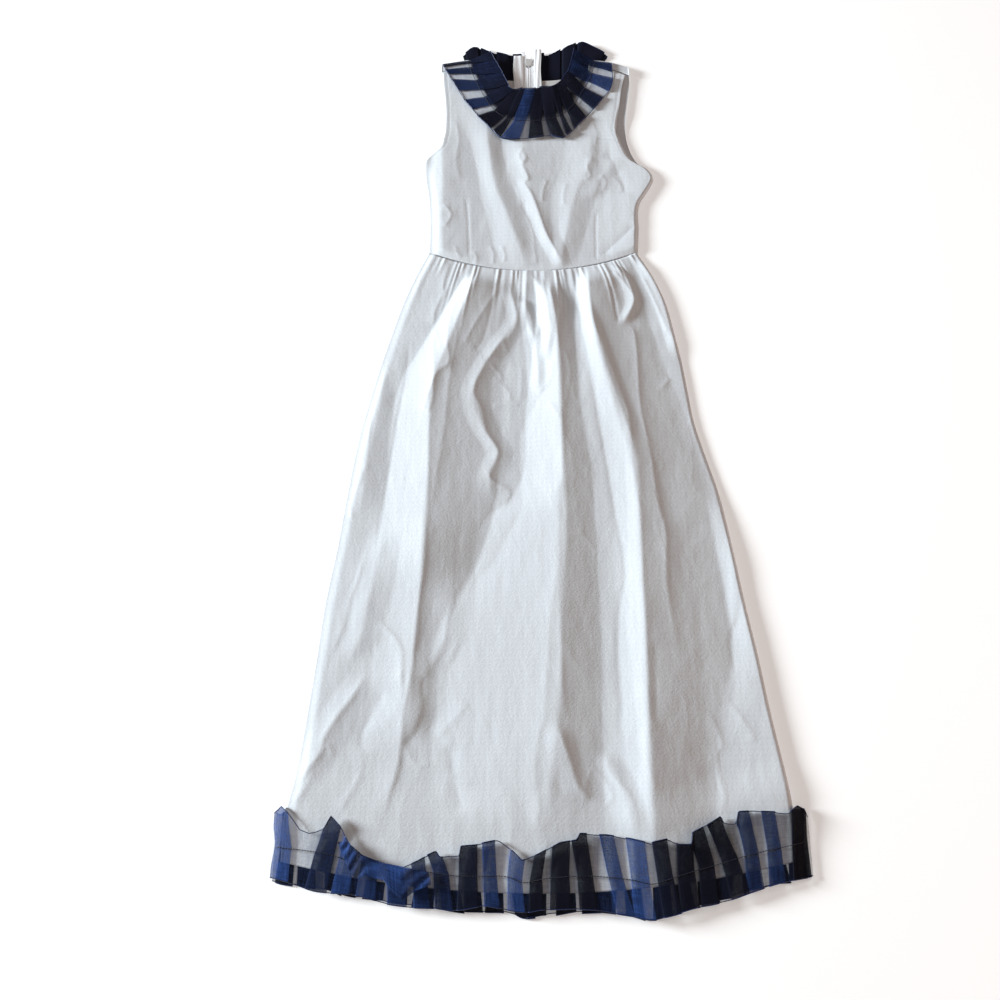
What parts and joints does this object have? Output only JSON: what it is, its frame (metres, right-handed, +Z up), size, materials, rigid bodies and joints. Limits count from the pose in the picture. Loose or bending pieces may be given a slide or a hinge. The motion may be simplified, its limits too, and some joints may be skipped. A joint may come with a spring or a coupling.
{
  "type": "bazin dress, laid flat",
  "caption": "Sleeveless floor-length white bazin dress laid flat, gathered at the waist, with pleated navy organza ruffles round neck and hem and a centre-back zip.",
  "frame": {"origin": "middle of the dress's outline, on the surface that it lies on", "axes": "+Y from hem to neck, +Z up out of the front panel, +X to the right of someone looking down at it"},
  "size_m": [0.724, 1.4504, 0.0222],
  "materials": {
    "bazin": "waxed damask cotton with a cool satin sheen",
    "lining": "matt white cotton",
    "organza": "sheer navy organza with a satin edge",
    "zip_enamel": "white enamel, satin"
  },
  "bodies": {
    "dress": {"skirt_front": "bazin", "skirt_back_left": "bazin", "skirt_back_right": "bazin", "bodice_front": "bazin", "bodice_back_left": "bazin", "bodice_back_right": "bazin", "hem_ruffle_front": "organza", "hem_ruffle_back": "organza", "neck_ruffle_front": "organza", "neck_ruffle_back_left": "organza", "neck_ruffle_back_right": "organza", "zip_facing_left": "lining", "zip_facing_right": "lining", "zip_tape_left": "lining", "zip_tape_right": "lining", "zip_chain": "zip_enamel", "zip_slider": "zip_enamel"},
    "pull": {"zip_pull": "zip_enamel"}
  },
  "joints": [
    {"name": "pull_swing", "type": "hinge", "parent": "dress", "child": "pull", "pos_m": [-0.005, 0.68568, 0.00215], "axis": [1, 0, 0], "range_deg": [0, 160]}
  ]
}
